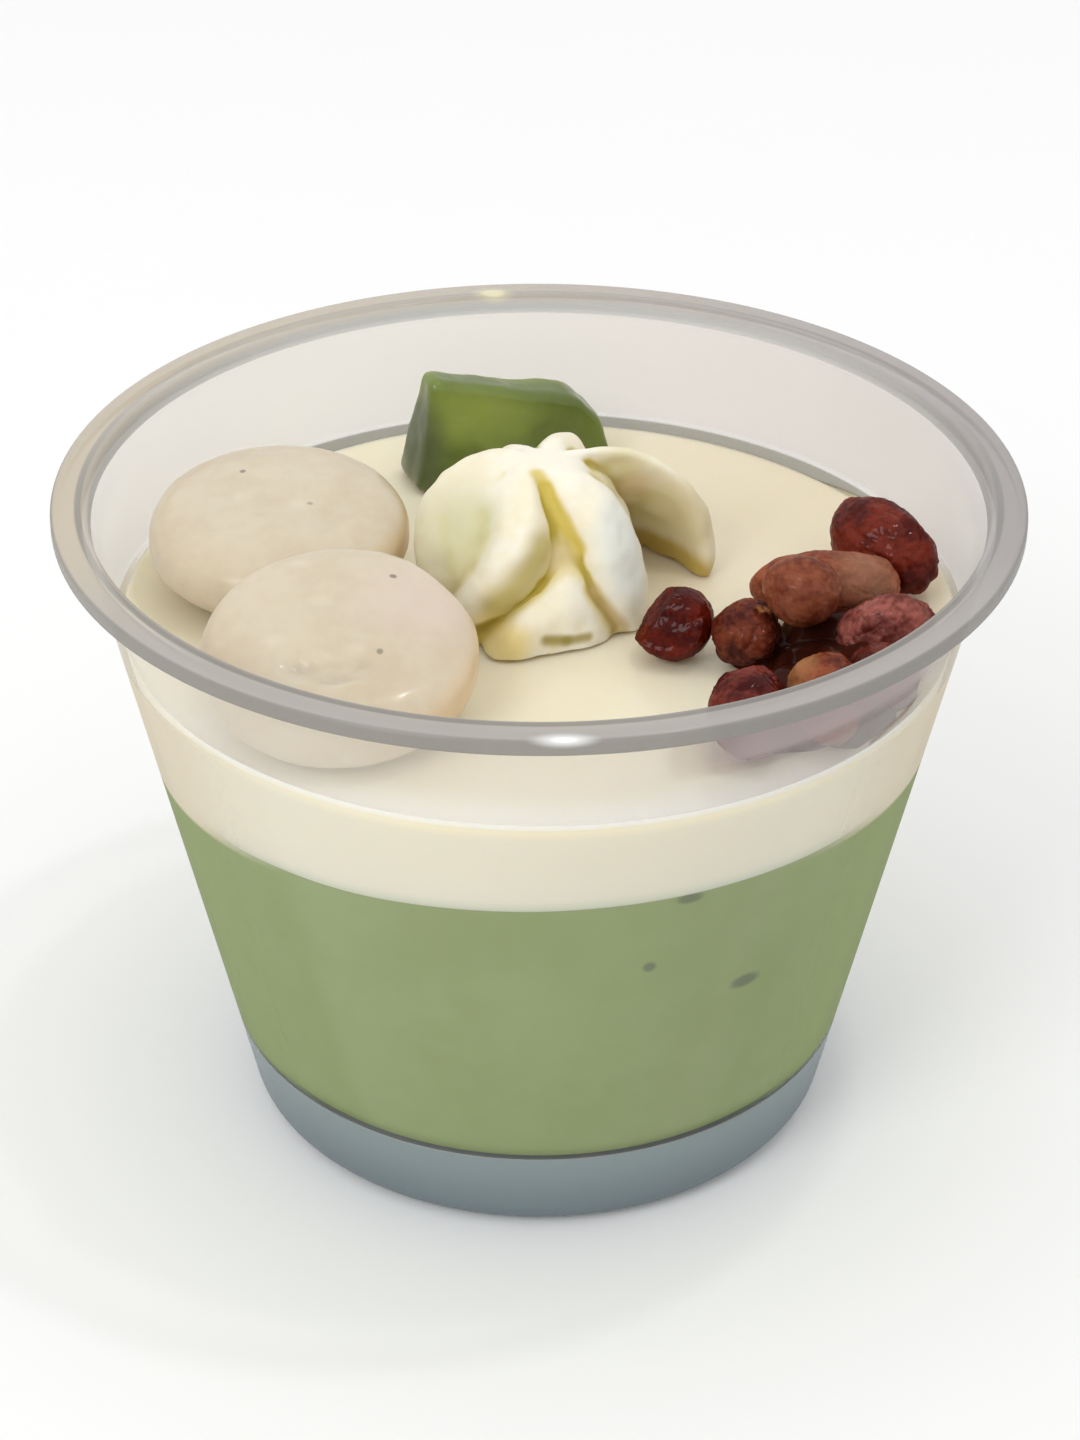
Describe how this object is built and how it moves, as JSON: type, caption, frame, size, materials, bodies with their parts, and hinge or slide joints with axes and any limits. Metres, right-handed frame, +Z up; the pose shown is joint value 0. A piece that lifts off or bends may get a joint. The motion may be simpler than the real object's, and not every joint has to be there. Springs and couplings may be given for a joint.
{
  "type": "pudding cup",
  "caption": "Clear flanged plastic dessert cup with a green pudding under a milk pudding, topped with mochi discs, a piped cream rosette, a green jelly chunk and sweet beans.",
  "frame": {"origin": "centre of the foot ring, on the plane the cup stands on", "axes": "+Z up along the cup's axis, -Y the side from which the toppings are seen in the picture"},
  "size_m": [0.095, 0.095, 0.0713],
  "materials": {
    "cup_plastic": "clear plastic, a little milky, with a smooth rolled rim",
    "green_pudding": "set pudding, dull green, faintly mottled",
    "milk_pudding": "smooth set milk pudding, cream coloured, soft gloss",
    "mochi": "moist, slightly see-through rice dough",
    "whipped_cream": "piped cream, ivory, softly ridged",
    "green_jelly": "dark green wet jelly",
    "sweet_bean": "wrinkled dark red skins, glossy with syrup"
  },
  "bodies": {
    "root": {"cup": "cup_plastic", "green_pudding": "green_pudding", "milk_pudding": "milk_pudding", "mochi_disc_back": "mochi", "mochi_disc_front": "mochi", "cream_rosette": "whipped_cream", "green_jelly_chunk": "green_jelly", "red_bean_1": "sweet_bean", "red_bean_2": "sweet_bean", "red_bean_3": "sweet_bean", "red_bean_4": "sweet_bean", "red_bean_5": "sweet_bean", "red_bean_6": "sweet_bean", "red_bean_7": "sweet_bean", "red_bean_8": "sweet_bean", "red_bean_9": "sweet_bean"}
  },
  "joints": []
}
